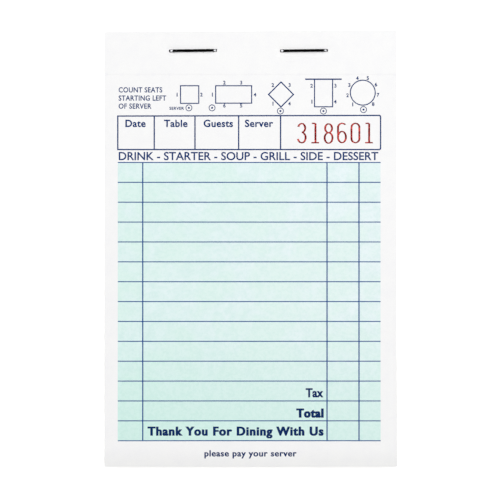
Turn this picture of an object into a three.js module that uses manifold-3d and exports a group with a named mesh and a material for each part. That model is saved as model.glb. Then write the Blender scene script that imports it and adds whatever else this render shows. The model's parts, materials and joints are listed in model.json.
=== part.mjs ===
// Restaurant bill pad: fifty guest checks and their stubs on a chipboard backing board,
// bound along the stub by two clinched wire staples.
// Millimetres, +Z up. The pad lies on its board with the stub towards +Y, and the origin is on
// the table under the middle of the pad.

import * as THREE from 'three';
import { mergeVertices, toCreasedNormals } from 'three/addons/utils/BufferGeometryUtils.js';
import Module from 'manifold-3d';

// Pad format: the 3.5 inch wide guest check, trimmed flush on all four sides
const PAD_WIDTH = 88.9;
const PAD_LENGTH = 132.5;
const STUB_DEPTH = 13.05;
const CHECK_COUNT = 50;
const CHECKS_PER_STUB_PACK = 10;

// Paper and board
const PAPER_THICKNESS = 0.08;
const PAPER_AIR = 0.02;
const BOARD_THICKNESS = 0.8;

// Perforation: slits with paper ties left between them
const TIE_PITCH = 4.9;
const TIE_WIDTH = 1.3;
const SLIT_WIDTH = 0.2;
const TEAR_HAIRLINE = 0.04;
const SMALLEST_TIE = 0.3;
const SHEETS_WITH_TIES = 10;

// Fold of the top sheet, measured down from the staple wire
const FOLD_DISTANCE = 3.0;
const FOLD_HAIRLINE = 0.04;

// Staples: flat wire with rolled edges
const STAPLE_WIDTH = 14.65;
const STAPLE_SPACING = 33.8;
const STAPLE_SHIFT = -0.6;
const STAPLE_INSET = 5.75;
const STAPLE_TILT = THREE.MathUtils.degToRad(0.7);
const WIRE_WIDTH = 0.85;
const WIRE_THICKNESS = 0.5;
const WIRE_EDGE_ROUND = 0.14;
const BEND_RADIUS = 0.9;
const CLINCH_LENGTH = 5.4;
const CHISEL_POINT = 0.45;
const CROWN_BITE = 0.1;
const WIRE_CLEARANCE = 0.06;
const PRESSED_MARGIN = 1.2;

// Smoothness of round stretches
const BEND_SEGMENTS = 4;
const EDGE_SEGMENTS = 2;
const CREASE_ANGLE = THREE.MathUtils.degToRad(35);
const WELD = 1e-4;

// Heights of the stack, from the board up
const SHEET_PITCH = PAPER_THICKNESS + PAPER_AIR;
const STACK_TOP = BOARD_THICKNESS + CHECK_COUNT * SHEET_PITCH;
const CROWN_TOP = STACK_TOP - CROWN_BITE + WIRE_THICKNESS;

// Lines across the pad, from the stub edge down
const STUB_EDGE = PAD_LENGTH / 2;
const FOOT_EDGE = -PAD_LENGTH / 2;
const STAPLE_LINE = STUB_EDGE - STAPLE_INSET;
const FOLD_LINE = STAPLE_LINE - WIRE_WIDTH / 2 - FOLD_DISTANCE;
const TEAR_LINE = STUB_EDGE - STUB_DEPTH;

const PAPER = new THREE.MeshStandardMaterial({ color: 0xf4f5f6, roughness: 0.9, metalness: 0 });
const CHIPBOARD = new THREE.MeshStandardMaterial({ color: 0x9b8a72, roughness: 0.95, metalness: 0 });
const WIRE = new THREE.MeshStandardMaterial({ color: 0x2b2d31, roughness: 0.32, metalness: 0.9 });

const wasm = await Module();
wasm.setup();

// A closed geometry as a solid that can be joined and cut
function toSolid(geometry) {
  const bare = geometry.clone();
  bare.deleteAttribute('normal');
  bare.deleteAttribute('uv');
  const welded = mergeVertices(bare, WELD);
  const vertProperties = new Float32Array(welded.attributes.position.array);
  const triVerts = new Uint32Array(welded.index.array);
  return new wasm.Manifold(new wasm.Mesh({ numProp: 3, vertProperties, triVerts }));
}

function toGeometry(solid) {
  const { vertProperties, triVerts } = solid.getMesh();
  const geometry = new THREE.BufferGeometry();
  geometry.setAttribute('position', new THREE.BufferAttribute(vertProperties, 3));
  geometry.setIndex(new THREE.BufferAttribute(triVerts, 1));
  return toCreasedNormals(geometry, CREASE_ANGLE);
}

// Underside of a sheet, counted from 1 at the top of the pad
function sheetBottom(number) {
  return STACK_TOP - PAPER_THICKNESS - (number - 1) * SHEET_PITCH;
}

function sheetGeometry(outline, number) {
  const geometry = new THREE.ExtrudeGeometry(new THREE.Shape(outline), {
    depth: PAPER_THICKNESS,
    bevelEnabled: false,
  });
  return geometry.translate(0, 0, sheetBottom(number));
}

// Edge along the perforation of a sheet, from left to right. towardsSheet is 1 for a stub, which
// lies above the line, and -1 for a check. Between straight slits, a tie at every pitch reaches
// nearly to the tear line, and the end ties run out at the sides of the sheet.
function perforatedEdge(towardsSheet) {
  const side = PAD_WIDTH / 2;
  const slit = TEAR_LINE + towardsSheet * (SLIT_WIDTH / 2);
  const tie = TEAR_LINE + towardsSheet * (TEAR_HAIRLINE / 2);
  const last = Math.floor((side + TIE_WIDTH / 2) / TIE_PITCH);
  const points = [];
  for (let index = -last; index <= last; index += 1) {
    const left = Math.max(index * TIE_PITCH - TIE_WIDTH / 2, -side);
    const right = Math.min(index * TIE_PITCH + TIE_WIDTH / 2, side);
    if (right - left < SMALLEST_TIE) {
      continue;
    }
    if (left > -side) {
      points.push(new THREE.Vector2(left, slit));
    }
    points.push(new THREE.Vector2(left, tie));
    points.push(new THREE.Vector2(right, tie));
    if (right < side) {
      points.push(new THREE.Vector2(right, slit));
    }
  }
  if (points[0].x > -side) {
    points.unshift(new THREE.Vector2(-side, slit));
  }
  if (points[points.length - 1].x < side) {
    points.push(new THREE.Vector2(side, slit));
  }
  return points;
}

// Edge along the perforation of a sheet deeper in the pad: the tear line without its slits
function plainEdge(towardsSheet) {
  const side = PAD_WIDTH / 2;
  const line = TEAR_LINE + towardsSheet * (TEAR_HAIRLINE / 2);
  return [new THREE.Vector2(-side, line), new THREE.Vector2(side, line)];
}

function straightEdge(height) {
  const side = PAD_WIDTH / 2;
  return [new THREE.Vector2(side, height), new THREE.Vector2(-side, height)];
}

function tearEdge(number, towardsSheet) {
  return number <= SHEETS_WITH_TIES ? perforatedEdge(towardsSheet) : plainEdge(towardsSheet);
}

function checkOutline(number) {
  return [...tearEdge(number, -1), ...straightEdge(FOOT_EDGE)];
}

// The stub of a sheet, up to the stapled edge. The top sheet's begins above its fold.
function stubOutline(number) {
  const fold = straightEdge(FOLD_LINE + FOLD_HAIRLINE / 2).reverse();
  const low = number === 1 ? fold : tearEdge(number, 1);
  return [...low, ...straightEdge(STUB_EDGE)];
}

// The top sheet between its perforation and its fold
function foldStripOutline() {
  return [...tearEdge(1, 1), ...straightEdge(FOLD_LINE - FOLD_HAIRLINE / 2)];
}

// Side profile of a staple, grown by a clearance on every side: crown, two legs and two
// clinched ends that point at each other, each cut to a chisel point
function stapleProfile(grow) {
  const half = STAPLE_WIDTH / 2;
  const low = -grow;
  const outer = BEND_RADIUS + grow;
  const inner = BEND_RADIUS - WIRE_THICKNESS - grow;
  const bend = half - BEND_RADIUS;
  const tip = half - CLINCH_LENGTH - grow;
  const foot = BEND_RADIUS;
  const shoulder = CROWN_TOP - BEND_RADIUS;
  const quarter = Math.PI / 2;
  const profile = new THREE.Shape();
  profile.moveTo(-tip, low);
  profile.lineTo(-bend, low);
  profile.absarc(-bend, foot, outer, -quarter, -2 * quarter, true);
  profile.absarc(-bend, shoulder, outer, 2 * quarter, quarter, true);
  profile.absarc(bend, shoulder, outer, quarter, 0, true);
  profile.absarc(bend, foot, outer, 0, -quarter, true);
  profile.lineTo(tip, low);
  profile.lineTo(tip + CHISEL_POINT, low + WIRE_THICKNESS + 2 * grow);
  profile.absarc(bend, foot, inner, -quarter, 0, false);
  profile.absarc(bend, shoulder, inner, 0, quarter, false);
  profile.absarc(-bend, shoulder, inner, quarter, 2 * quarter, false);
  profile.absarc(-bend, foot, inner, -2 * quarter, -quarter, false);
  profile.lineTo(-tip - CHISEL_POINT, low + WIRE_THICKNESS + 2 * grow);
  profile.closePath();
  return profile;
}

function stapleGeometry() {
  const geometry = new THREE.ExtrudeGeometry(stapleProfile(0), {
    depth: WIRE_WIDTH - 2 * WIRE_EDGE_ROUND,
    curveSegments: BEND_SEGMENTS,
    bevelThickness: WIRE_EDGE_ROUND,
    bevelSize: WIRE_EDGE_ROUND,
    bevelOffset: -WIRE_EDGE_ROUND,
    bevelSegments: EDGE_SEGMENTS,
  });
  geometry.translate(0, 0, WIRE_EDGE_ROUND - WIRE_WIDTH / 2);
  return geometry.rotateX(Math.PI / 2);
}

// The room that a staple takes in paper and board
function stapleRoom() {
  const geometry = new THREE.ExtrudeGeometry(stapleProfile(WIRE_CLEARANCE), {
    depth: WIRE_WIDTH + 2 * WIRE_CLEARANCE,
    curveSegments: BEND_SEGMENTS,
    bevelEnabled: false,
  });
  geometry.translate(0, 0, -WIRE_WIDTH / 2 - WIRE_CLEARANCE);
  return geometry.rotateX(Math.PI / 2);
}

const staples = [
  ['staple_left', STAPLE_SHIFT - STAPLE_SPACING / 2],
  ['staple_right', STAPLE_SHIFT + STAPLE_SPACING / 2],
].map(([name, x]) => {
  const staple = new THREE.Mesh(stapleGeometry(), WIRE);
  staple.name = name;
  staple.position.set(x, STAPLE_LINE, 0);
  staple.rotation.z = STAPLE_TILT;
  staple.updateMatrix();
  return staple;
});

const stapleCuts = staples.map((staple) => toSolid(stapleRoom().applyMatrix4(staple.matrix)));

function cutForStaples(solid) {
  return stapleCuts.reduce((cut, room) => cut.subtract(room), solid);
}

// Ten stubs, loose from each other except where a staple squeezes them solid
function stubPackGeometry(first, last) {
  const bottom = sheetBottom(last);
  const height = sheetBottom(first) + PAPER_THICKNESS - bottom;
  let pack = null;
  for (const staple of staples) {
    const pressed = new THREE.BoxGeometry(
      STAPLE_WIDTH + 2 * PRESSED_MARGIN,
      WIRE_WIDTH + 2 * PRESSED_MARGIN,
      height,
    );
    pressed.translate(0, 0, bottom + height / 2);
    const solid = toSolid(pressed.applyMatrix4(staple.matrix));
    pack = pack ? pack.add(solid) : solid;
  }
  for (let number = first; number <= last; number += 1) {
    pack = pack.add(toSolid(sheetGeometry(stubOutline(number), number)));
  }
  return toGeometry(cutForStaples(pack));
}

function boardGeometry() {
  const board = new THREE.BoxGeometry(PAD_WIDTH, PAD_LENGTH, BOARD_THICKNESS);
  board.translate(0, 0, BOARD_THICKNESS / 2);
  return toGeometry(cutForStaples(toSolid(board)));
}

function part(name, geometry, material) {
  const mesh = new THREE.Mesh(geometry, material);
  mesh.name = name;
  return mesh;
}

function twoDigits(number) {
  return String(number).padStart(2, '0');
}

const billPad = new THREE.Group();
billPad.add(part('backing_board', boardGeometry(), CHIPBOARD));
billPad.add(...staples);

for (let first = 1; first <= CHECK_COUNT; first += CHECKS_PER_STUB_PACK) {
  const last = Math.min(first + CHECKS_PER_STUB_PACK - 1, CHECK_COUNT);
  const name = `stubs_${twoDigits(first)}_${twoDigits(last)}`;
  billPad.add(part(name, stubPackGeometry(first, last), PAPER));
}

billPad.add(part('check_01_fold_strip', sheetGeometry(foldStripOutline(), 1), PAPER));
for (let number = 1; number <= CHECK_COUNT; number += 1) {
  billPad.add(part(`check_${twoDigits(number)}`, sheetGeometry(checkOutline(number), number), PAPER));
}

export default billPad;
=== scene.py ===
# Restaurant bill pad: looks of the paper, print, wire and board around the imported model.
# Lengths are millimetres, and make_piece turns them into metres. The lamps and the camera are
# placed in metres.

import json
import math
import random

import bpy
from mathutils import Matrix, Vector


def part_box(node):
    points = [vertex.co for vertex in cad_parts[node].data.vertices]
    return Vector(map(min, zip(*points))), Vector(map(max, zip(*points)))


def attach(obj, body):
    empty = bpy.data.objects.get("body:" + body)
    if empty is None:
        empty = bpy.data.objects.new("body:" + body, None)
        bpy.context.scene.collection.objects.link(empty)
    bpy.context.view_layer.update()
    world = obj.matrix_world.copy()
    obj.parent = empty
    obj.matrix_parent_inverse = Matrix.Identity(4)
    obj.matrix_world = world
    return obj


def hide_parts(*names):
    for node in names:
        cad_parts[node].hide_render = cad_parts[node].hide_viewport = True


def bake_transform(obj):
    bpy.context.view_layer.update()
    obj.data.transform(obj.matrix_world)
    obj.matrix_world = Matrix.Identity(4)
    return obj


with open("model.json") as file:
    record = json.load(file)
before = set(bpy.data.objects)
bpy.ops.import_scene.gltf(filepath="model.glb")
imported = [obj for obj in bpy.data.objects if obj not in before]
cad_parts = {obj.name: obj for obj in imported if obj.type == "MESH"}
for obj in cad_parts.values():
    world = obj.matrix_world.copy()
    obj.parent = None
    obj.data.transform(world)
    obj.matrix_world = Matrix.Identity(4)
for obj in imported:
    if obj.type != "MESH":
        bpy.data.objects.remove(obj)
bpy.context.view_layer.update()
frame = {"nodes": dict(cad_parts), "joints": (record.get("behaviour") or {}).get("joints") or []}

MM = 0.001


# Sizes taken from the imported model

def node_box(name):
    """Lowest and highest corner of a node."""
    low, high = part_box(name)
    return low / MM, high / MM


check_low, check_high = node_box("check_01")
_, second_high = node_box("check_02")
strip_low, _ = node_box("check_01_fold_strip")
_, stub_high = node_box("stubs_01_10")
_, staple_high = node_box("staple_left")
turn_joint = next(joint for joint in frame["joints"] if joint["name"] == "check_01_turn")

CHECKS = sum(1 for joint in frame["joints"] if joint["name"].endswith("tear_off"))
SIDE = check_high.x
FOOT_EDGE = check_low.y
STUB_EDGE = stub_high.y
TEAR_LINE = (check_high.y + strip_low.y) / 2
PAPER = check_high.z - check_low.z
SHEET_PITCH = check_high.z - second_high.z
STACK_TOP = check_high.z
CROWN_TOP = staple_high.z
FOLD_LINE = Vector(turn_joint["pos_m"]).y / MM

# Perforation: a tie at every pitch, and hairline slits between the ties
TIE_PITCH = 4.9
TIE_WIDTH = 1.3
TIE_SLOPE = 0.06
TIE_GAP = 0.006
SLIT_GAP = 0.015
# The ties are painted darker this far into each sheet: painted shade of their crease.
TIE_SHADE_DEPTH = 0.4

# How the sheets lie: a block that leans towards its foot, of bundles that were counted off together
SHEET_SCATTER = 0.05
SHEETS_IN_BUNDLE = 6
BUNDLE_SCATTER = 0.09
LEAN_SCATTER = 0.2
BLOCK_LEAN = 0.3

# The foot corners of the top check have come up. The rise starts this far out and down, and it
# would be whole a little past the edges of the sheet.
CORNER_RISE = 0.34
RISE_START_X = 12.0
RISE_START_Y = -18.0
RISE_PAST_SIDE = 4.0
RISE_PAST_FOOT = 6.0

# Steps of a check's grid along the page: the top one curves, and those below it are flat
TOP_ROW_STEP = 3.5
LOWER_ROW_STEP = 60.0

# The stapled edge was trimmed a little aslant, so its right end stands out
TRIM_SLANT = 0.55

# The wire of the staples, and the paper that it presses down
STAPLE_WIDTH = 15.0
STAPLE_TILT = math.radians(0.7)
CLINCH_LENGTH = 5.4
CHISEL_POINT = 0.45
WIRE_WIDTH = 0.85
WIRE_THICKNESS = 0.5
WIRE_ROUND = 0.13
WIRE_BEND = 0.9
SHOULDER_RADIUS = 4.0
SHOULDER_TURN = 22
SHOULDER_CORNER = 0.5
CROWN_STEPS = 4
BEND_STEPS = 8
SECTION_STEPS = 4
DENT_DEPTH = 0.105
DENT_REACH = 1.5
DENT_STEP = 0.0175

# Bend of the top sheet, below its fold
BEND_LENGTH = 2.4
BEND_ROWS = 16

# Page layout, from the middle of the pad
PAGE_LEFT = -40.4
PAGE_RIGHT = 39.6
GRID_TOP = 26.45
ROW_PITCH = 6.05
ROWS = 14
COLUMN_RULES = (-32.8, 23.3, 33.03)
GRID_FOOT = GRID_TOP - ROWS * ROW_PITCH

# The box of labels, whose top line rises by BOX_SLANT from its left end to its right end
BOX_TOP = 40.57
BOX_FOOT = 30.38
BOX_SLANT = 0.2
BOX_ROUND = 0.45
BOX_ROUND_STEPS = 4
BOX_RULES = (-29.3, -16.9, -3.6, 9.16)

# Ink: how high it lies on the paper, and the widths of the lines
INK_HEIGHT = 0.008
INK_LAYER = 0.0015
ROW_LINE = 0.29
COLUMN_LINE = 0.36
BOX_LINE = 0.39
DIAGRAM_LINE = 0.32
DIAMOND_LINE = DIAGRAM_LINE * 1.15
WALL_LINE = DIAGRAM_LINE * 1.3
RING_LINE = DIAGRAM_LINE * 0.72
RULE_STEP = 4.0

# Height of the capitals of Blender's own font at size 1, and of each lettering
FONT_CAP = 0.682
SEAT_CAP = 1.05
SERVER_CAP = 0.85
NOTE_CAP = 1.5
LABEL_CAP = 2.08
COURSE_CAP = 2.38
TAX_CAP = 2.58
BOLD_CAP = 2.52
REQUEST_CAP = 1.8

# How finely the curves of the print are cut, on the top check and on those below it
TOP_CURVE_STEPS = 4
LOWER_CURVE_STEPS = 2

random.seed(7106)


# Materials

def linear(red, green, blue):
    """Colour from 0 to 255 as shown on a screen, as the linear values that a shader takes."""
    shown = (channel / 255 for channel in (red, green, blue))
    return tuple(c / 12.92 if c <= 0.04045 else ((c + 0.055) / 1.055) ** 2.4 for c in shown) + (1.0,)


class Finish:
    """A material whose colour, roughness and bump come from noise and places in the piece's own
    space."""

    def __init__(self, name, roughness, metallic=0.0, specular=0.5):
        self.material = bpy.data.materials.new(name)
        self.material.use_nodes = True
        self.tree = self.material.node_tree
        self.shader = self.tree.nodes["Principled BSDF"]
        self.shader.inputs["Roughness"].default_value = roughness
        self.shader.inputs["Metallic"].default_value = metallic
        self.shader.inputs["Specular IOR Level"].default_value = specular
        self.place = self.tree.nodes.new("ShaderNodeTexCoord").outputs["Object"]

    def link(self, output, target):
        self.tree.links.new(output, target)

    def stretched(self, scale):
        """The piece's own space, stretched by three factors."""
        node = self.tree.nodes.new("ShaderNodeMapping")
        node.inputs["Scale"].default_value = scale
        self.link(self.place, node.inputs["Vector"])
        return node.outputs["Vector"]

    def noise(self, size, detail=3.0, roughness=0.55, space=None):
        """Noise whose grains are about size millimetres across."""
        node = self.tree.nodes.new("ShaderNodeTexNoise")
        node.inputs["Scale"].default_value = 1 / (size * MM)
        node.inputs["Detail"].default_value = detail
        node.inputs["Roughness"].default_value = roughness
        self.link(space or self.place, node.inputs["Vector"])
        return node.outputs["Fac"]

    def ramp(self, value, stops):
        """Colours along a value, as (position, colour) stops."""
        node = self.tree.nodes.new("ShaderNodeValToRGB")
        elements = node.color_ramp.elements
        while len(elements) < len(stops):
            elements.new(1.0)
        for element, (position, colour) in zip(elements, stops):
            element.position = position
            element.color = colour
        self.link(value, node.inputs["Fac"])
        return node.outputs["Color"]

    def mix(self, share, first, second, mode="MIX"):
        node = self.tree.nodes.new("ShaderNodeMix")
        node.data_type = "RGBA"
        node.blend_type = mode
        for index, value in ((0, share), (6, first), (7, second)):
            if isinstance(value, bpy.types.NodeSocket):
                self.link(value, node.inputs[index])
            else:
                node.inputs[index].default_value = value
        return node.outputs[2]

    def multiply(self, first, second):
        return self.mix(1.0, first, second, "MULTIPLY")

    def page_share(self, axis, start, end):
        """0 at one place along the page's X or Y and 1 at another, for the tone of a print."""
        split = self.tree.nodes.new("ShaderNodeSeparateXYZ")
        node = self.tree.nodes.new("ShaderNodeMapRange")
        node.interpolation_type = "SMOOTHSTEP"
        node.inputs["From Min"].default_value = start * MM
        node.inputs["From Max"].default_value = end * MM
        self.link(self.place, split.inputs["Vector"])
        self.link(split.outputs[axis], node.inputs["Value"])
        return node.outputs["Result"]

    def colour(self, output):
        self.link(output, self.shader.inputs["Base Color"])

    def plain_colour(self, colour):
        self.shader.inputs["Base Color"].default_value = colour

    def rough(self, value, low, high):
        node = self.tree.nodes.new("ShaderNodeMapRange")
        node.inputs["To Min"].default_value = low
        node.inputs["To Max"].default_value = high
        self.link(value, node.inputs["Value"])
        self.link(node.outputs["Result"], self.shader.inputs["Roughness"])

    def bump(self, value, height, strength=1.0):
        """Bump of a height in millimetres."""
        node = self.tree.nodes.new("ShaderNodeBump")
        node.inputs["Distance"].default_value = height * MM
        node.inputs["Strength"].default_value = strength
        self.link(value, node.inputs["Height"])
        self.link(node.outputs["Normal"], self.shader.inputs["Normal"])


BLACK = (0, 0, 0, 1)
HALF = (0.5, 0.5, 0.5, 1)
WHITE = (1, 1, 1, 1)

# Tones that multiply the colour of the print or the paper, and where on the page they come in
# Darker and greener on the left of the print: partly its own tone, partly painted shade.
LEFT_TONE_AND_SHADE = (0.94, 0.992, 0.97, 1)
SCREEN_TONE = (0.935, 0.97, 0.962, 1)
# Painted shade: plain paper is darker towards its foot edge, over this reach.
FOOT_SHADE_TONE = (0.945, 0.945, 0.94, 1)
FOOT_SHADE_REACH = 7.0
# From here the print turns deeper and darker towards its foot: partly its own tone, partly painted
# shade.
FOOT_TONE_AND_SHADE_FROM = GRID_TOP - 40


def paper_finish(name, light, shade, patch=None, foot=None, painted_foot_shade=False):
    """Uncoated bond: fine fibres, cloudy formation and a dry surface. patch is a tone that comes
    and goes over the print, and foot the tone that it turns to at the foot of the page, which is
    partly the print's own tone and partly painted shade. With painted_foot_shade the paper is a
    little greyer along its foot edge: painted shade."""
    finish = Finish(name, roughness=0.85, specular=0.3)
    cloud = finish.noise(3.5, detail=4.0)
    colour = finish.ramp(cloud, [(0.36, shade), (0.62, light)])
    if patch:
        drift = finish.ramp(finish.noise(9.0, detail=2.0), [(0.42, BLACK), (0.6, WHITE)])
        colour = finish.mix(drift, colour, patch)
    # Painted shade along the foot edge of the paper.
    if painted_foot_shade:
        edge = finish.page_share("Y", FOOT_EDGE + FOOT_SHADE_REACH, FOOT_EDGE)
        colour = finish.multiply(colour, finish.ramp(edge, [(0.0, WHITE), (1.0, FOOT_SHADE_TONE)]))
    # The foot tone and the darker left side are partly the print's own tone and partly painted shade.
    if foot:
        colour = finish.mix(finish.page_share("Y", FOOT_TONE_AND_SHADE_FROM, GRID_FOOT), colour, foot)
        across = finish.page_share("X", PAGE_LEFT, PAGE_RIGHT)
        colour = finish.multiply(colour, finish.ramp(across, [(0.0, LEFT_TONE_AND_SHADE), (1.0, WHITE)]))
        screen = finish.ramp(finish.noise(0.9, detail=2.0), [(0.36, SCREEN_TONE), (0.6, WHITE)])
        colour = finish.multiply(colour, screen)
    fibre = finish.noise(0.22, detail=4.0, roughness=0.65)
    specks = finish.ramp(fibre, [(0.3, (0.965, 0.965, 0.965, 1)), (0.55, WHITE)])
    finish.colour(finish.multiply(colour, specks))
    finish.rough(fibre, 0.78, 0.92)
    finish.bump(fibre, 0.012, 0.6)
    return finish.material


# White paper, with painted shade along its foot edge.
white_paper = paper_finish("white_paper", linear(250, 250, 250), linear(248, 248, 249), painted_foot_shade=True)
# Mint print, deeper and darker towards its foot and on its left: partly its own tone, partly painted
# shade.
mint_print = paper_finish(
    "mint_print",
    linear(237, 249, 251),
    linear(230, 246, 246),
    patch=linear(231, 248, 245),
    foot=linear(221, 245, 240),
)
# Paper of the perforation's ties, painted darker as painted shade of their crease.
tie_shade_paper = paper_finish("tie_shade_paper", linear(248, 248, 249), linear(245, 245, 247))


def cut_edge_finish():
    """Guillotined edges of a block of sheets: stripes of painted light and shade, as if each sheet
    caught the light a little differently and the gaps between them lay in shade.
    """
    finish = Finish("cut_edge", roughness=0.9, specular=0.2)
    painted_sheet_shading = finish.noise(0.16, detail=2.0, roughness=0.6, space=finish.stretched((0.012, 0.012, 1.0)))
    tone = finish.ramp(painted_sheet_shading, [(0.36, linear(206, 206, 204)), (0.6, linear(247, 247, 246))])
    fibre = finish.noise(0.3, detail=3.0)
    specks = finish.ramp(fibre, [(0.34, (0.94, 0.94, 0.935, 1)), (0.56, WHITE)])
    finish.colour(finish.multiply(tone, specks))
    finish.rough(fibre, 0.85, 0.96)
    finish.bump(painted_sheet_shading, 0.03, 0.7)
    return finish.material


def form_ink_finish(name, colour):
    """Ink of the form: one plain colour, with a grain in its gloss and its surface."""
    finish = Finish(name, roughness=0.6, specular=0.12)
    finish.plain_colour(colour)
    grain = finish.noise(0.3)
    finish.rough(grain, 0.45, 0.7)
    finish.bump(grain, 0.004, 0.4)
    return finish.material


def number_ink_finish():
    """Red ink of a numbering machine, starved in places."""
    finish = Finish("number_ink", roughness=0.6, specular=0.12)
    starved = finish.noise(0.8, detail=3.0, roughness=0.7)
    full = linear(120, 0, 2)
    thin = linear(224, 88, 82)
    finish.colour(finish.ramp(starved, [(0.48, full), (0.62, thin)]))
    finish.rough(starved, 0.5, 0.75)
    return finish.material


def wire_finish():
    """Dark stitching wire, with the marks of drawing along its length."""
    finish = Finish("staple_wire", roughness=0.25, metallic=1.0)
    finish.shader.inputs["Specular Tint"].default_value = (0.3, 0.3, 0.3, 1)
    drawn = finish.noise(0.2, detail=3.0, space=finish.stretched((0.06, 1.0, 0.3)))
    dark, light = (0.072, 0.073, 0.076, 1), (0.1, 0.101, 0.106, 1)
    finish.colour(finish.ramp(drawn, [(0.3, dark), (0.7, light)]))
    finish.rough(drawn, 0.1, 0.16)
    finish.bump(drawn, 0.003, 0.4)
    return finish.material


def chipboard_finish():
    """Grey board of mixed waste: cloudy pulp, with short pale and dark fibres that cross."""
    finish = Finish("chipboard", roughness=0.95, specular=0.2)
    pulp = finish.ramp(finish.noise(2.2, detail=5.0, roughness=0.6), [
        (0.32, linear(150, 141, 126)),
        (0.68, linear(176, 167, 151)),
    ])
    fibre = finish.noise(0.28, detail=4.0, roughness=0.7)
    dark = finish.ramp(fibre, [(0.3, (0.72, 0.7, 0.68, 1)), (0.44, WHITE)])
    colour = finish.multiply(pulp, dark)
    strands = (
        ((0.35, 1.0, 1.0), linear(206, 199, 186)),
        ((1.0, 0.35, 1.0), linear(92, 84, 72)),
    )
    for stretch, tone in strands:
        lying = finish.stretched(stretch)
        contour = finish.noise(0.8, detail=1.0, space=lying)
        line = finish.ramp(contour, [(0.47, BLACK), (0.5, WHITE), (0.53, BLACK)])
        broken = finish.ramp(finish.noise(1.6, detail=1.0, space=lying), [(0.52, BLACK), (0.64, HALF)])
        colour = finish.mix(finish.multiply(line, broken), colour, tone)
    finish.colour(colour)
    finish.rough(fibre, 0.85, 1.0)
    finish.bump(fibre, 0.05, 0.7)
    return finish.material


cut_edge = cut_edge_finish()
rule_ink = form_ink_finish("rule_ink", linear(0, 70, 140))
letter_ink = form_ink_finish("letter_ink", linear(0, 48, 108))
bold_ink = form_ink_finish("bold_ink", linear(0, 40, 94))
number_ink = number_ink_finish()
staple_wire = wire_finish()
chipboard = chipboard_finish()


# Meshes

SHARP_ANGLE = math.radians(35)


def make_piece(name, vertices, faces, materials, zones=None):
    """A piece from points in millimetres. zones gives the material of each face."""
    mesh = bpy.data.meshes.new(name)
    mesh.from_pydata([(x * MM, y * MM, z * MM) for x, y, z in vertices], [], faces)
    for material in materials:
        mesh.materials.append(material)
    if zones:
        mesh.polygons.foreach_set("material_index", zones)
    mesh.shade_smooth()
    mesh.set_sharp_from_angle(angle=SHARP_ANGLE)
    mesh.update()
    piece = bpy.data.objects.new(name, mesh)
    bpy.context.scene.collection.objects.link(piece)
    return piece


def smooth_step(value):
    """0 below 0 and 1 above 1, with an easy slope between them."""
    share = min(max(value, 0.0), 1.0)
    return share * share * (3 - 2 * share)


# The third zone is the perforation's ties, painted darker as painted shade.
PLAIN, CUT_EDGE, TIE_SHADE, MINT = range(4)
SHEET_MATERIALS = (white_paper, cut_edge, tie_shade_paper, mint_print)


def closed_sheet(grid, zone_of, first_vertex=0):
    """A thin closed sheet whose upper face is a grid of points, with rows from the stub down and
    columns from left to right. zone_of(row, column) is the material of a cell of the upper face,
    the underside is PLAIN and the sides are CUT_EDGE."""
    rows, columns = len(grid), len(grid[0])
    upper = [point for row in grid for point in row]
    vertices = upper + [(x, y, z - PAPER) for x, y, z in upper]
    under = len(upper)
    faces = []
    zones = []
    for row in range(rows - 1):
        for column in range(columns - 1):
            corner = row * columns + column
            cell = (corner, corner + columns, corner + columns + 1, corner + 1)
            faces.append(cell)
            zones.append(zone_of(row, column))
            faces.append(tuple(under + v for v in reversed(cell)))
            zones.append(PLAIN)
    left = [row * columns for row in range(rows)]
    foot = [(rows - 1) * columns + column for column in range(1, columns)]
    right = [row * columns + columns - 1 for row in range(rows - 2, -1, -1)]
    top = list(range(columns - 2, 0, -1))
    border = left + foot + right + top
    for here, after in zip(border, border[1:] + border[:1]):
        faces.append((here, here + under, after + under, after))
        zones.append(CUT_EDGE)
    faces = [tuple(first_vertex + v for v in face) for face in faces]
    return vertices, faces, zones


def tie_spans():
    """Left and right end of each tie of the perforation."""
    last = math.floor((SIDE + TIE_WIDTH / 2) / TIE_PITCH)
    return [
        (index * TIE_PITCH - TIE_WIDTH / 2, index * TIE_PITCH + TIE_WIDTH / 2)
        for index in range(-last, last + 1)
    ]


TIES = tie_spans()


def in_tie(x):
    return any(left <= x <= right for left, right in TIES)


def sheet_columns(extra=()):
    """Where the columns of a sheet's grid stand, so that every tie has its edges."""
    stations = {-SIDE, SIDE, *extra}
    for left, right in TIES:
        stations.update((left - TIE_SLOPE, left, right, right + TIE_SLOPE))
    return sorted(x for x in stations if -SIDE <= x <= SIDE)


def torn_edge(x, side):
    """The perforated edge at x, of a check with side -1 or a stub with side 1."""
    return TEAR_LINE + side * (TIE_GAP if in_tie(x) else SLIT_GAP) / 2


def sheet_top(number):
    """Height of a sheet's upper face."""
    return STACK_TOP - (number - 1) * SHEET_PITCH


def footward(y):
    """0 at the tear line and above it, and 1 at the foot edge."""
    return max(0.0, TEAR_LINE - y) / (TEAR_LINE - FOOT_EDGE)


def scatter(most):
    return random.uniform(-most, most)


class Lie:
    """How one sheet of the pad lies: moved sideways at the stub, leaning towards its foot, and cut
    a little long or short there. The sheets of a bundle share part of it, and the top sheet lies
    true."""

    def __init__(self, number, bundle):
        depth = (number - 1) / (CHECKS - 1)
        loose = 0 if number == 1 else 1
        self.shift = loose * (bundle[0] + scatter(SHEET_SCATTER)) / 2
        self.foot = loose * (bundle[1] + scatter(SHEET_SCATTER))
        self.lean = BLOCK_LEAN * depth + loose * (bundle[2] + scatter(SHEET_SCATTER))

    def x(self, x, y):
        return x + self.shift + self.lean * footward(y)

    def y(self, y):
        return y + self.foot * footward(y)


def lie_of_sheets():
    lies = {}
    for number in range(1, CHECKS + 1):
        if number % SHEETS_IN_BUNDLE == 1:
            bundle = [scatter(most) for most in (BUNDLE_SCATTER, BUNDLE_SCATTER, LEAN_SCATTER)]
        lies[number] = Lie(number, bundle)
    return lies


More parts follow.
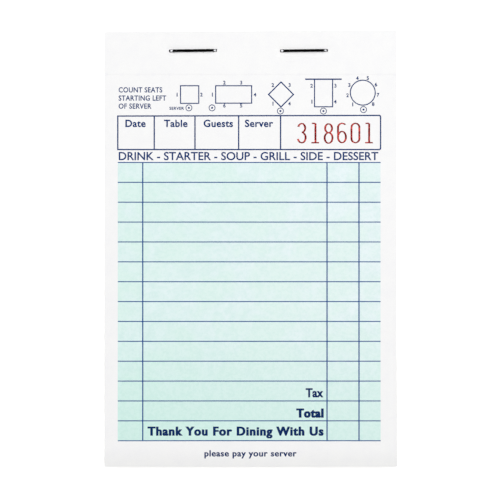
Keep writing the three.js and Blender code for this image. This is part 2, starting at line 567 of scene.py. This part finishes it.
lies = lie_of_sheets()


def top_check_height(x, y):
    """The top check is flat but for its foot corners, which have come up a little."""
    across = smooth_step((abs(x) - RISE_START_X) / (SIDE + RISE_PAST_SIDE - RISE_START_X))
    along = smooth_step((RISE_START_Y - y) / (RISE_START_Y - FOOT_EDGE + RISE_PAST_FOOT))
    return STACK_TOP + CORNER_RISE * across * along


# The checks

def check_rows(step):
    """Where the rows of a check's grid stand below its perforated edge."""
    stations = [TEAR_LINE - TIE_SHADE_DEPTH]
    for top, foot in ((stations[0], GRID_TOP), (GRID_TOP, GRID_FOOT), (GRID_FOOT, FOOT_EDGE)):
        cuts = max(1, round((top - foot) / step))
        stations += [top + (foot - top) * (cut + 1) / cuts for cut in range(cuts)]
    return stations


def check_sheet(number):
    """One check below its perforation, with the mint area printed on it."""
    lie = lies[number]
    columns = sheet_columns((PAGE_LEFT, PAGE_RIGHT))
    rows = check_rows(TOP_ROW_STEP if number == 1 else LOWER_ROW_STEP)
    flat = sheet_top(number)
    height = top_check_height if number == 1 else lambda x, y: flat
    grid = [[(lie.x(x, TEAR_LINE), torn_edge(x, -1), flat) for x in columns]]
    grid += [[(lie.x(x, y), lie.y(y), height(x, y)) for x in columns] for y in rows]
    edges = [TEAR_LINE, *rows]

    def zone_of(row, column):
        middle_x = (columns[column] + columns[column + 1]) / 2
        middle_y = (edges[row] + edges[row + 1]) / 2
        if PAGE_LEFT < middle_x < PAGE_RIGHT and GRID_FOOT < middle_y < GRID_TOP:
            return MINT
        # The ties are painted darker, as painted shade.
        if row == 0 and in_tie(middle_x):
            return TIE_SHADE
        return PLAIN

    vertices, faces, zones = closed_sheet(grid, zone_of)
    name = f"check_{number:02d}"
    piece = make_piece(name + "_sheet", vertices, faces, SHEET_MATERIALS, zones)
    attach(piece, name)
    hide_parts(name)


# Print: flat shapes on the page, where a shape that crosses another lies one layer of ink higher

RULES, LETTERS, BOLD = range(3)
FORM_INKS = (rule_ink, letter_ink, bold_ink)

# Steps of a round table and of a ring for each of the print's curve steps, and steps of a dot
TABLE_STEPS = 16
RING_STEPS = 8
DOT_STEPS = 10

# Least cosine of half the turn at a mitred corner
SHARPEST_MITRE = 0.3


def around(centre, radius, turn_from, turn_step, count):
    """Points round a circle, by degrees from its right side."""
    turns = [math.radians(turn_from + turn_step * i) for i in range(count)]
    return [(centre[0] + radius * math.cos(a), centre[1] + radius * math.sin(a)) for a in turns]


def circle(centre, radius, steps):
    return around(centre, radius, 0, 360 / steps, steps)


def box_corners(left, foot, right, top):
    return [(left, foot), (right, foot), (right, top), (left, top)]


class Print:
    """The shapes of one print. What is added goes on the current layer, in the current ink."""

    def __init__(self, curve_steps=1):
        self.points = []
        self.faces = []
        self.inks = []
        self.layer = 0
        self.ink = 0
        self.curve_steps = curve_steps

    def add(self, points, faces):
        first = len(self.points)
        self.points += [(x, y, self.layer) for x, y in points]
        self.faces += [tuple(first + v for v in face) for face in faces]
        self.inks += [self.ink] * len(faces)

    def band(self, left, right, closed=False):
        """The strip between two lines of as many points."""
        count = len(left)
        last = count if closed else count - 1
        faces = [(i, count + i, count + (i + 1) % count, (i + 1) % count) for i in range(last)]
        self.add(list(left) + list(right), faces)

    def rule(self, start, end, width):
        """A ruled line, cut into steps so that it can follow the sheet."""
        (x0, y0), (x1, y1) = start, end
        length = math.hypot(x1 - x0, y1 - y0)
        nx, ny = (y1 - y0) / length * width / 2, (x0 - x1) / length * width / 2
        steps = max(1, round(length / RULE_STEP))
        line = [(x0 + (x1 - x0) * i / steps, y0 + (y1 - y0) * i / steps) for i in range(steps + 1)]
        self.band([(x - nx, y - ny) for x, y in line], [(x + nx, y + ny) for x, y in line])

    def outline(self, corners, width):
        """A closed convex outline, its corners listed anticlockwise and mitred."""
        count = len(corners)
        inner, outer = [], []
        for i in range(count):
            before, here, after = (Vector(corners[(i + k) % count]) for k in (-1, 0, 1))
            first = (here - before).normalized()
            second = (after - here).normalized()
            out = Vector((first.y + second.y, -first.x - second.x)).normalized()
            reach = width / 2 / max(SHARPEST_MITRE, out.dot(Vector((first.y, -first.x))))
            inner.append(tuple(here - out * reach))
            outer.append(tuple(here + out * reach))
        self.band(inner, outer, closed=True)

    def ring(self, centre, radius, width):
        steps = RING_STEPS * self.curve_steps
        inner = circle(centre, radius - width / 2, steps)
        outer = circle(centre, radius + width / 2, steps)
        self.band(inner, outer, closed=True)

    def dot(self, centre, radius):
        self.add(circle(centre, radius, DOT_STEPS), [tuple(range(DOT_STEPS))])

    def letters(self, text, cap, x, baseline, anchor=0.0, bold=0.0, width=None, spacing=1.0, strike=0.0):
        """A line of text. cap is its capitals' height, anchor the share of its width that lies left
        of x, bold how much each stroke grows, and width the length that it is set to. With strike it
        is printed twice, that far to either side, which thickens its upright strokes."""
        curve = bpy.data.curves.new("lettering", "FONT")
        curve.body = text
        curve.resolution_u = self.curve_steps
        size = cap / FONT_CAP
        curve.offset = bold / size
        curve.space_character = spacing
        holder = bpy.data.objects.new("lettering", curve)
        bpy.context.scene.collection.objects.link(holder)
        bpy.context.view_layer.update()
        graph = bpy.context.evaluated_depsgraph_get()
        mesh = bpy.data.meshes.new_from_object(holder.evaluated_get(graph))
        low = min(vertex.co.x for vertex in mesh.vertices)
        high = max(vertex.co.x for vertex in mesh.vertices)
        stretch = width / (high - low) if width else size
        points = [
            (x + (v.co.x - low - anchor * (high - low)) * stretch, baseline + v.co.y * size)
            for v in mesh.vertices
        ]
        faces = [
            tuple(f.vertices) if f.normal.z > 0 else tuple(reversed(f.vertices))
            for f in mesh.polygons
        ]
        for layer, shift in enumerate((-strike, strike) if strike else (0.0,)):
            self.layer = layer
            self.add([(px + shift, py) for px, py in points], faces)
        self.layer = 0
        bpy.data.objects.remove(holder)
        bpy.data.curves.remove(curve)
        bpy.data.meshes.remove(mesh)


# Seating diagrams. The ring with a dot is where the server stands. The font's 1 is a bare stroke,
# so it is printed bolder than the other numbers.
SEAT_BOLD = 0.05
FIRST_SEAT_BOLD = 0.07
RING_RADIUS = 0.92
RING_DOT = 0.32
TABLE_RADIUS = 3.79
SEAT_RADIUS = 4.7
WALL = 51.8
WALL_ENDS = (16.65, 27.75)


def table_diagram(page, outline, seats, server, line=DIAGRAM_LINE):
    """A table from above: its outline, its numbered seats and the place where the server stands."""
    page.outline(outline, line)
    for number, (x, y) in enumerate(seats, start=1):
        bold = FIRST_SEAT_BOLD if number == 1 else SEAT_BOLD
        page.letters(str(number), SEAT_CAP, x, y - SEAT_CAP / 2, anchor=0.5, bold=bold)
    page.ring(server, RING_RADIUS, RING_LINE)
    page.dot(server, RING_DOT)


def print_tables(page):
    """Seating diagrams: small square, long, diamond, wall and round table."""
    page.ink = LETTERS
    small_table = box_corners(-21.3, 44.45, -15.75, 49.8)
    table_diagram(page, small_table, [(-22.35, 47.1), (-14.95, 47.1)], (-18.75, 43.07))
    page.letters("SERVER", SERVER_CAP, -20.2, 42.5, anchor=1.0, bold=0.035, width=4.48, spacing=1.06)

    long_table = box_corners(-10.6, 44.5, 0.35, 49.8)
    long_seats = [
        (-11.6, 47.1), (-7.95, 50.75), (-2.85, 50.75),
        (1.35, 47.1), (-2.85, 43.75), (-7.95, 43.75),
    ]
    table_diagram(page, long_table, long_seats, (-11.7, 43.07))

    diamond = around((9.28, 47.15), TABLE_RADIUS, -90, 90, 4)
    diamond_seats = [(6.85, 44.35), (6.8, 50.0), (11.9, 50.0), (11.85, 44.35)]
    table_diagram(page, diamond, diamond_seats, (9.1, 42.1), DIAMOND_LINE)

    page.layer = 1
    page.rule((WALL_ENDS[0], WALL), (WALL_ENDS[1], WALL), WALL_LINE)
    page.layer = 0
    wall_table = box_corners(19.5, 43.4, 25.0, WALL)
    wall_seats = [(18.7, 44.95), (18.6, 49.8), (25.85, 49.8), (25.8, 44.95)]
    table_diagram(page, wall_table, wall_seats, (22.2, 42.1))

    middle = (34.18, 47.7)
    round_table = circle(middle, TABLE_RADIUS, TABLE_STEPS * page.curve_steps)
    table_diagram(page, round_table, around(middle, SEAT_RADIUS, 229.5, -39.6, 8), (34.4, 42.55))


# Each line of the note, with its width and its baseline
NOTE = (
    ("COUNT SEATS", 13.3, 47.8),
    ("STARTING LEFT", 14.5, 45.3),
    ("OF SERVER", 10.0, 42.85),
)
NOTE_LEFT = PAGE_LEFT + 0.25
LABELS = (("Date", -35.0), ("Table", -22.75), ("Guests", -9.8), ("Server", 2.6))
LABEL_BASELINE = 37.3
COURSES = "DRINK - STARTER - SOUP - GRILL - SIDE - DESSERT"
COURSES_LEFT = PAGE_LEFT + 0.3
COURSES_BASELINE = 27.2


def box_outline():
    """The box of labels, anticlockwise, with its right corners rounded."""
    corners = [(PAGE_LEFT, BOX_FOOT)]
    for y, turn_from in ((BOX_FOOT + BOX_ROUND, -90), (BOX_TOP + BOX_SLANT - BOX_ROUND, 0)):
        middle = (PAGE_RIGHT - BOX_ROUND, y)
        corners += around(middle, BOX_ROUND, turn_from, 90 / BOX_ROUND_STEPS, BOX_ROUND_STEPS + 1)
    return corners + [(PAGE_LEFT, BOX_TOP)]


def print_header(page):
    """The note, the box of labels above its cells, and the line of courses."""
    page.ink = LETTERS
    for line, width, baseline in NOTE:
        page.letters(line, NOTE_CAP, NOTE_LEFT, baseline, bold=0.045, width=width, spacing=1.06)
    page.outline(box_outline(), BOX_LINE)
    page.layer = 1
    for x in BOX_RULES:
        page.rule((x, BOX_TOP), (x, BOX_FOOT), BOX_LINE)
    page.layer = 0
    for label, x in LABELS:
        page.letters(label, LABEL_CAP, x, LABEL_BASELINE, anchor=0.5, bold=0.08, spacing=1.06)
    page.letters(COURSES, COURSE_CAP, COURSES_LEFT, COURSES_BASELINE, bold=0.055, width=79.0)


LABEL_END = COLUMN_RULES[1] - 1.15
TAX_BASELINE = -44.95
TOTAL_BASELINE = -51.1
THANKS_BASELINE = -56.6
REQUEST_BASELINE = -63.0


def print_grid(page):
    """Ruled rows and money columns, with the labels of the last rows and the line at the foot."""
    page.ink = RULES
    for row in range(ROWS + 1):
        y = GRID_TOP - row * ROW_PITCH
        page.rule((PAGE_LEFT, y), (PAGE_RIGHT, y), ROW_LINE)
    page.layer = 1
    for x in COLUMN_RULES:
        page.rule((x, GRID_TOP), (x, GRID_FOOT), COLUMN_LINE)
    page.layer = 0
    page.ink = BOLD
    page.letters("Tax", TAX_CAP, LABEL_END, TAX_BASELINE,
                 anchor=1.0, bold=0.1, width=5.3, spacing=1.05, strike=0.06)
    page.letters("Total", BOLD_CAP, LABEL_END, TOTAL_BASELINE,
                 anchor=1.0, bold=0.135, width=8.1, spacing=1.16, strike=0.13)
    page.letters("Thank You For Dining With Us", BOLD_CAP, LABEL_END, THANKS_BASELINE,
                 anchor=1.0, bold=0.12, width=53.4, spacing=1.16, strike=0.1)
    page.letters("please pay your server", REQUEST_CAP, 0.0, REQUEST_BASELINE,
                 anchor=0.5, bold=0.05, width=28.0, spacing=1.1, strike=0.04)


def form_print(curve_steps):
    """All the blue print of the form."""
    page = Print(curve_steps)
    print_tables(page)
    print_header(page)
    print_grid(page)
    return page


# Figures of the numbering machine: pen strokes in a cell one wide and one high. The pen's sizes are
# half its width and half its height.

FIRST_NUMBER = 318601
FIGURE_LEFT = 14.4
FIGURE_FOOT = 32.42
FIGURE_PITCH = 4.085
FIGURE_WIDTH = 2.4
FIGURE_HEIGHT = 5.88
FIGURE_SCATTER = 0.1
PEN_ACROSS = 0.3
PEN_UP = 0.2


def arc(x, y, across, up, start, end, steps=10):
    """Points along part of an ellipse, by degrees."""
    turns = [math.radians(start + (end - start) * i / steps) for i in range(steps + 1)]
    return [(x + across * math.cos(a), y + up * math.sin(a)) for a in turns]


# Half a figure's width, as a share of its height, and the bowls and the loop that figures share
UP = FIGURE_WIDTH / FIGURE_HEIGHT / 2
LOW_BOWL = (0.5, 0.27, 0.5, 0.27)
HIGH_BOWL = (0.5, 0.77, 0.44, 0.23)
LOOP = (0.5, 0.29, 0.5, 0.29)

STROKES = {
    "0": [arc(0.5, 1 - UP, 0.5, UP, 0, 180) + arc(0.5, UP, 0.5, UP, 180, 360) + [(1, 1 - UP)]],
    "1": [[(0.08, 1), (0.54, 1)], [(0.54, 1), (0.54, 0)], [(0.02, 0), (1, 0)]],
    "2": [
        arc(0.5, 1 - UP, 0.5, UP, 175, -28) + [(0.5, 0.42), (0.14, 0.13), (0, 0)],
        [(0, 0), (0.98, 0)],
    ],
    "3": [arc(*HIGH_BOWL, 165, -85), arc(*LOW_BOWL, 88, -165)],
    "4": [[(0.26, 1), (0.02, 0.3)], [(0.02, 0.3), (1, 0.3)], [(0.68, 0.62), (0.68, 0)]],
    "5": [[(0.94, 1), (0.1, 1)], [(0.1, 1), (0.08, 0.56)], arc(0.48, 0.31, 0.5, 0.31, 142, -158)],
    "6": [arc(*LOOP, 0, 360, 20), arc(0.52, 1 - UP, 0.52, UP, 40, 180) + [(0, 0.29)]],
    "7": [[(0.02, 0.88), (0.02, 1)], [(0.02, 1), (1, 1)], [(1, 1), (0.72, 0.62), (0.5, 0.3), (0.44, 0)]],
    "8": [arc(*HIGH_BOWL, 0, 360, 18), arc(*LOW_BOWL, 0, 360, 20)],
    "9": [arc(0.5, 0.71, 0.5, 0.29, 0, 360, 20), arc(0.48, UP, 0.52, UP, 220, 360) + [(1, 0.71)]],
}


def pen_stroke(page, line):
    """A line drawn with an upright oval pen that is wider than it is high."""
    left = []
    right = []
    for i, (x, y) in enumerate(line):
        before = line[max(i - 1, 0)]
        after = line[min(i + 1, len(line) - 1)]
        across = before[1] - after[1]
        up = after[0] - before[0]
        reach = math.hypot(PEN_ACROSS * across, PEN_UP * up)
        pen_x = PEN_ACROSS**2 * across / reach
        pen_y = PEN_UP**2 * up / reach
        left.append((x + pen_x, y + pen_y))
        right.append((x - pen_x, y - pen_y))
    page.band(left, right)


def number_print(number):
    """The running number of one check."""
    page = Print()
    for place, figure in enumerate(str(FIRST_NUMBER + number - 1)):
        left = FIGURE_LEFT + place * FIGURE_PITCH
        foot = FIGURE_FOOT + scatter(FIGURE_SCATTER)
        for layer, stroke in enumerate(STROKES[figure]):
            page.layer = layer
            pen_stroke(page, [(left + x * FIGURE_WIDTH, foot + y * FIGURE_HEIGHT) for x, y in stroke])
    return page


def lay_print(name, page, inks, height):
    """Print on the page as a piece, lying on the sheet whose height is given for each point."""
    vertices = [(x, y, height(x, y) + INK_HEIGHT + INK_LAYER * layer) for x, y, layer in page.points]
    return make_piece(name, vertices, page.faces, inks, page.inks)


def level(x, y):
    """The height of a page that is printed flat, and then moved to its sheet."""
    return 0.0


def printed_check(number, form_mesh):
    """A check with its form and its number. The lower checks share one mesh of the form."""
    check_sheet(number)
    name = f"check_{number:02d}"
    lie = lies[number]
    turn = math.atan(lie.lean / (TEAR_LINE - FOOT_EDGE))
    hinge = Matrix.Translation((0, TEAR_LINE * MM, 0))
    aside = Matrix.Translation((lie.shift * MM, 0, 0))
    place = aside @ hinge @ Matrix.Rotation(turn, 4, "Z") @ hinge.inverted()
    if number == 1:
        form = lay_print(name + "_form", form_print(TOP_CURVE_STEPS), FORM_INKS, top_check_height)
        figures = lay_print(name + "_number", number_print(number), [number_ink], top_check_height)
    else:
        form = bpy.data.objects.new(name + "_form", form_mesh)
        bpy.context.scene.collection.objects.link(form)
        figures = lay_print(name + "_number", number_print(number), [number_ink], level)
        place = Matrix.Translation((0, 0, sheet_top(number) * MM)) @ place
    for piece in (form, figures):
        piece.matrix_world = place
        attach(piece, name)


shared_page = lay_print("shared_form", form_print(LOWER_CURVE_STEPS), FORM_INKS, level)
shared_form = shared_page.data
bpy.data.objects.remove(shared_page)
for number in range(1, CHECKS + 1):
    printed_check(number, shared_form)


# The stubs

STAPLE_NODES = ("staple_left", "staple_right")


def node_middle(name):
    """Middle of a node, seen from above."""
    low, high = node_box(name)
    return (low.x + high.x) / 2, (low.y + high.y) / 2


STAPLES = [node_middle(name) for name in STAPLE_NODES]
STAPLE_LINE = STAPLES[0][1]


def wire_distance(x, y):
    """How far a point of the stub is from the nearest crown's edge, seen from above."""
    nearest = math.inf
    for middle_x, middle_y in STAPLES:
        along = (x - middle_x) * math.cos(STAPLE_TILT) + (y - middle_y) * math.sin(STAPLE_TILT)
        across = (y - middle_y) * math.cos(STAPLE_TILT) - (x - middle_x) * math.sin(STAPLE_TILT)
        past = max(0.0, abs(along) - STAPLE_WIDTH / 2)
        beside = max(0.0, abs(across) - WIRE_WIDTH / 2)
        nearest = min(nearest, math.hypot(past, beside))
    return nearest


def stub_height(number):
    """Height of a stub's upper face, which the wire presses down, less so the deeper it lies."""
    dent = max(0.0, DENT_DEPTH - (number - 1) * DENT_STEP)
    flat = sheet_top(number)

    def height(x, y):
        return flat - dent * (1 - smooth_step(wire_distance(x, y) / DENT_REACH))

    return height if dent else lambda x, y: flat


# Places of the rows and columns of a stub's grid, from the line of the wire and from its ends
DENT_OFFSETS = (-1.9, -1.4, -0.95, -0.45, 0.0, 0.45, 0.95, 1.4, 1.9)


def dent_columns():
    """Extra columns of a stub's grid round both ends of each crown."""
    ends = [middle[0] + side * STAPLE_WIDTH / 2 for middle in STAPLES for side in (-1, 1)]
    return [end + offset for end in ends for offset in DENT_OFFSETS]


def stub_rows(foot, dented):
    """Where the rows of a stub's grid stand, from the stapled edge down to its foot."""
    rows = [STUB_EDGE]
    if dented:
        rows += [STAPLE_LINE + offset for offset in reversed(DENT_OFFSETS)]
    return rows + [foot]


def trimmed(x, y):
    """How far the trimming carries a point of the stapled edge outwards."""
    return TRIM_SLANT * (x + SIDE) / (2 * SIDE) if y == STUB_EDGE else 0.0


def stub_sheet(number, rows, columns, first_vertex=0):
    """One stub from the stapled edge to its perforated edge."""
    lie = lies[number]
    height = stub_height(number)
    grid = [[(lie.x(x, y), y + trimmed(x, y), height(x, y)) for x in columns] for y in rows]
    grid.append([(lie.x(x, TEAR_LINE), torn_edge(x, 1), sheet_top(number)) for x in columns])
    last_row = len(rows) - 1

    def zone_of(row, column):
        # The ties at the perforated edge are painted darker, as painted shade.
        in_ties = row == last_row and in_tie((columns[column] + columns[column + 1]) / 2)
        return TIE_SHADE if in_ties else PLAIN

    return closed_sheet(grid, zone_of, first_vertex)


def top_stub():
    """The stub of the top sheet down to its perforation, with rows of its grid just below the staples
    where it would bend.
    """
    rows = stub_rows(FOLD_LINE, True)
    rows += [FOLD_LINE - BEND_LENGTH * (i + 1) / BEND_ROWS for i in range(BEND_ROWS)]
    rows.append(TEAR_LINE + TIE_SHADE_DEPTH)
    vertices, faces, zones = stub_sheet(1, rows, sheet_columns(dent_columns()))
    piece = make_piece("top_stub", vertices, faces, SHEET_MATERIALS, zones)
    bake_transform(piece)
    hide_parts("check_01_fold_strip")


def stub_pack(first, last):
    """Loose stubs of some checks, lying on each other under the staples. The top sheet's stub is a
    piece of its own."""
    vertices = []
    faces = []
    zones = []
    for number in range(max(first, 2), last + 1):
        dented = DENT_DEPTH > (number - 1) * DENT_STEP
        rows = stub_rows(TEAR_LINE + TIE_SHADE_DEPTH, dented)
        columns = sheet_columns(dent_columns() if dented else ())
        sheet = stub_sheet(number, rows, columns, len(vertices))
        vertices += sheet[0]
        faces += sheet[1]
        zones += sheet[2]
    node = f"stubs_{first:02d}_{last:02d}"
    piece = make_piece(node + "_sheets", vertices, faces, SHEET_MATERIALS, zones)
    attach(piece, "pad")
    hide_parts(node)


top_stub()
for node in sorted(name for name in frame["nodes"] if name.startswith("stubs_")):
    first, last = (int(part) for part in node.split("_")[1:])
    stub_pack(first, last)


# The staples

def wire_path():
    """Middle of the wire from tip to tip, side on, as (x, z, direction) points. The crown runs
    into each leg over a wide shoulder and then a tight corner, and the leg turns in at its foot."""
    reach = STAPLE_WIDTH / 2 - WIRE_THICKNESS / 2
    bend = WIRE_BEND - WIRE_THICKNESS / 2
    low = WIRE_THICKNESS / 2
    high = CROWN_TOP - WIRE_THICKNESS / 2
    turned = math.radians(SHOULDER_TURN)
    corner_x = reach - SHOULDER_CORNER
    shoulder_x = corner_x - (SHOULDER_RADIUS - SHOULDER_CORNER) * math.sin(turned)
    shoulder_z = high - SHOULDER_RADIUS
    corner_z = shoulder_z + (SHOULDER_RADIUS - SHOULDER_CORNER) * math.cos(turned)
    arcs = (
        (shoulder_x, shoulder_z, SHOULDER_RADIUS, 90, 90 - SHOULDER_TURN),
        (corner_x, corner_z, SHOULDER_CORNER, 90 - SHOULDER_TURN, 0),
        (reach - bend, low + bend, bend, 0, -90),
    )
    right = [(shoulder_x * i / CROWN_STEPS, high, 0) for i in range(CROWN_STEPS)]
    for x, z, radius, start, end in arcs:
        for i in range(BEND_STEPS + 1):
            turn = start + (end - start) * i / BEND_STEPS
            across = math.cos(math.radians(turn))
            up = math.sin(math.radians(turn))
            right.append((x + radius * across, z + radius * up, turn - 90))
    right.append((STAPLE_WIDTH / 2 - CLINCH_LENGTH, low, -180))
    left = [(-x, z, -heading) for x, z, heading in reversed(right[1:])]
    return left + right


def wire_section():
    """Rolled wire: flat faces and round edges, as (outward, sideways) points."""
    corners = ((1, 1, 0), (-1, 1, 90), (-1, -1, 180), (1, -1, 270))
    section = []
    for out, side, start in corners:
        middle_out = out * (WIRE_THICKNESS / 2 - WIRE_ROUND)
        middle_side = side * (WIRE_WIDTH / 2 - WIRE_ROUND)
        for i in range(SECTION_STEPS + 1):
            turn = math.radians(start + 90 * i / SECTION_STEPS)
            outward = middle_out + WIRE_ROUND * math.cos(turn)
            sideways = middle_side + WIRE_ROUND * math.sin(turn)
            section.append((outward, sideways))
    return section


def staple(node, middle):
    """A clinched staple: the section swept along the wire, with its tips cut to chisel points."""
    path = wire_path()
    section = wire_section()
    vertices = []
    for index, (x, z, heading) in enumerate(path):
        along = Vector((math.cos(math.radians(heading)), math.sin(math.radians(heading))))
        outward = Vector((-along.y, along.x))
        for out, side in section:
            back = CHISEL_POINT * (0.5 - out / WIRE_THICKNESS)
            slide = {0: back, len(path) - 1: -back}.get(index, 0.0)
            point = Vector((x, z)) + outward * out + along * slide
            vertices.append((point.x, side, point.y))
    ring = len(section)
    faces = []
    for row in range(len(path) - 1):
        for i in range(ring):
            j = (i + 1) % ring
            faces.append((row * ring + i, row * ring + j, (row + 1) * ring + j, (row + 1) * ring + i))
    faces.append(tuple(reversed(range(ring))))
    faces.append(tuple((len(path) - 1) * ring + i for i in range(ring)))
    place = Matrix.Translation((*middle, 0)) @ Matrix.Rotation(STAPLE_TILT, 4, "Z")
    placed = [tuple(place @ Vector(vertex)) for vertex in vertices]
    piece = make_piece(node + "_wire", placed, faces, [staple_wire])
    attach(piece, "pad")
    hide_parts(node)


for node, middle in zip(STAPLE_NODES, STAPLES):
    staple(node, middle)


# The backing board keeps its own shape

board = frame["nodes"]["backing_board"]
board.data.materials.clear()
board.data.materials.append(chipboard)


# Studio: a pale floor, a pale room that is darker overhead, and soft lights

FLOOR_REACH = 1500.0
FLOOR_DROP = 0.05
FLOOR_GLOW = 0.55
ROOM_LIGHT = 0.393
ROOM_TONE = (1.0, 0.995, 0.99, 1)
OVERHEAD_TONE = (0.02, 0.02, 0.022, 1)
OVERHEAD_START = 0.8
OVERHEAD_END = 0.93


def studio_floor():
    """A pale floor just below the pad, which glows a little so that its shadows stay soft."""
    finish = Finish("floor", roughness=0.7, specular=0.2)
    finish.plain_colour((0.9, 0.9, 0.9, 1))
    finish.shader.inputs["Emission Color"].default_value = (1, 1, 1, 1)
    finish.shader.inputs["Emission Strength"].default_value = FLOOR_GLOW
    corners = box_corners(-FLOOR_REACH, -FLOOR_REACH, FLOOR_REACH, FLOOR_REACH)
    vertices = [(x, y, -FLOOR_DROP) for x, y in corners]
    floor = make_piece("floor", vertices, [(0, 1, 2, 3)], [finish.material])


def studio_world():
    """The room's light, pale all round and dark overhead."""
    world = bpy.data.worlds.new("studio")
    world.use_nodes = True
    nodes = world.node_tree.nodes
    links = world.node_tree.links
    direction = nodes.new("ShaderNodeTexCoord").outputs["Generated"]
    split = nodes.new("ShaderNodeSeparateXYZ")
    ramp = nodes.new("ShaderNodeValToRGB")
    low, high = ramp.color_ramp.elements
    low.position = OVERHEAD_START
    low.color = ROOM_TONE
    high.position = OVERHEAD_END
    high.color = OVERHEAD_TONE
    links.new(direction, split.inputs["Vector"])
    links.new(split.outputs["Z"], ramp.inputs["Fac"])
    links.new(ramp.outputs["Color"], nodes["Background"].inputs["Color"])
    nodes["Background"].inputs["Strength"].default_value = ROOM_LIGHT
    bpy.context.scene.world = world


def soft_light(name, place, size, power):
    """A square soft light at a place in metres, turned to the pad."""
    light = bpy.data.lights.new(name, "AREA")
    light.shape = "SQUARE"
    light.size = size
    light.energy = power
    lamp = bpy.data.objects.new(name, light)
    lamp.location = place
    lamp.rotation_mode = "QUATERNION"
    lamp.rotation_quaternion = (-Vector(place)).to_track_quat("-Z", "Y")
    bpy.context.scene.collection.objects.link(lamp)


studio_floor()
studio_world()
soft_light("light_left", place=(-0.72, 0.15, 1.15), size=0.4, power=6.4)
soft_light("light_right", place=(0.72, 0.15, 1.15), size=0.42, power=5.5)
soft_light("light_back", place=(0.24, 0.42, 0.5), size=0.3, power=1.15)
bpy.context.scene.view_settings.view_transform = "Standard"


# Camera: straight above with a long lens, placed in metres

CAMERA_HEIGHT = 0.9
CAMERA_ASIDE = (-0.00015, -0.0002)
FRAME_WIDTH = 0.1532
SENSOR = 36.0

camera_data = bpy.data.cameras.new("camera")
camera_data.sensor_width = SENSOR
camera_data.lens = SENSOR * CAMERA_HEIGHT / FRAME_WIDTH
camera = bpy.data.objects.new("camera", camera_data)
camera.location = (*CAMERA_ASIDE, CAMERA_HEIGHT)
bpy.context.scene.collection.objects.link(camera)
bpy.context.scene.camera = camera
